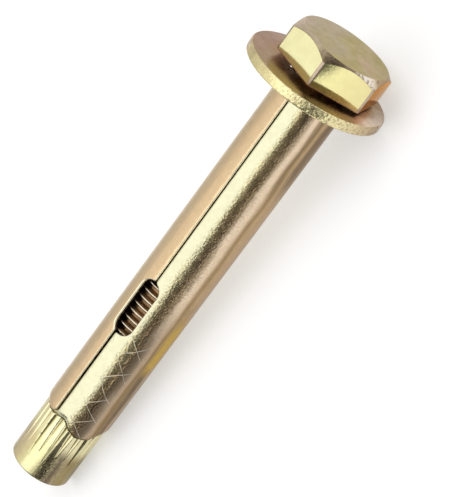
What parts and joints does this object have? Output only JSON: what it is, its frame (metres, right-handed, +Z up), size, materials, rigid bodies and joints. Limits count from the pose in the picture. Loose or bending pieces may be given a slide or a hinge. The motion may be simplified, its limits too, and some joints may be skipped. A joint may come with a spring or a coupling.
{
  "type": "sleeve anchor",
  "caption": "Hexagon-head sleeve anchor with a large washer: turning the bolt draws a cone nut into a split sleeve so that it grips the hole.",
  "frame": {"origin": "centre of the anchor's box, on the floor that it lies on", "axes": "+Z up; the anchor lies along X with its head at +X, its axis rising by 4.10 degrees towards the head; the sleeve's seam and window face upwards, turned towards -Y"},
  "size_m": [0.0942, 0.0253, 0.0253],
  "materials": {
    "yellow_zinc_bolt": "yellow zinc plated, satin with a bright sheen",
    "yellow_zinc_washer": "yellow zinc plated, satin faces and a rough rim",
    "yellow_zinc_sleeve": "yellow zinc plated, bright with a fine grain",
    "yellow_zinc_nut": "yellow zinc plated, satin"
  },
  "bodies": {
    "sleeve": {"sleeve": "yellow_zinc_sleeve", "washer": "yellow_zinc_washer"},
    "bolt": {"hex_bolt": "yellow_zinc_bolt"},
    "nut": {"cone_nut": "yellow_zinc_nut"}
  },
  "joints": [
    {"name": "bolt_turn", "type": "hinge", "parent": "sleeve", "child": "bolt", "pos_m": [-0.04674, 0, 0.0056], "axis": [0.9974, 0, 0.0715], "range_deg": [0, 2880]},
    {"name": "nut_travel", "type": "slide", "parent": "sleeve", "child": "nut", "axis": [-0.9974, 0, -0.0715], "range_m": [0, 0.0121]}
  ],
  "couplings": [
    {"joint": "nut_travel", "follows": "bolt_turn", "m_per_rad": 0.00023873}
  ]
}
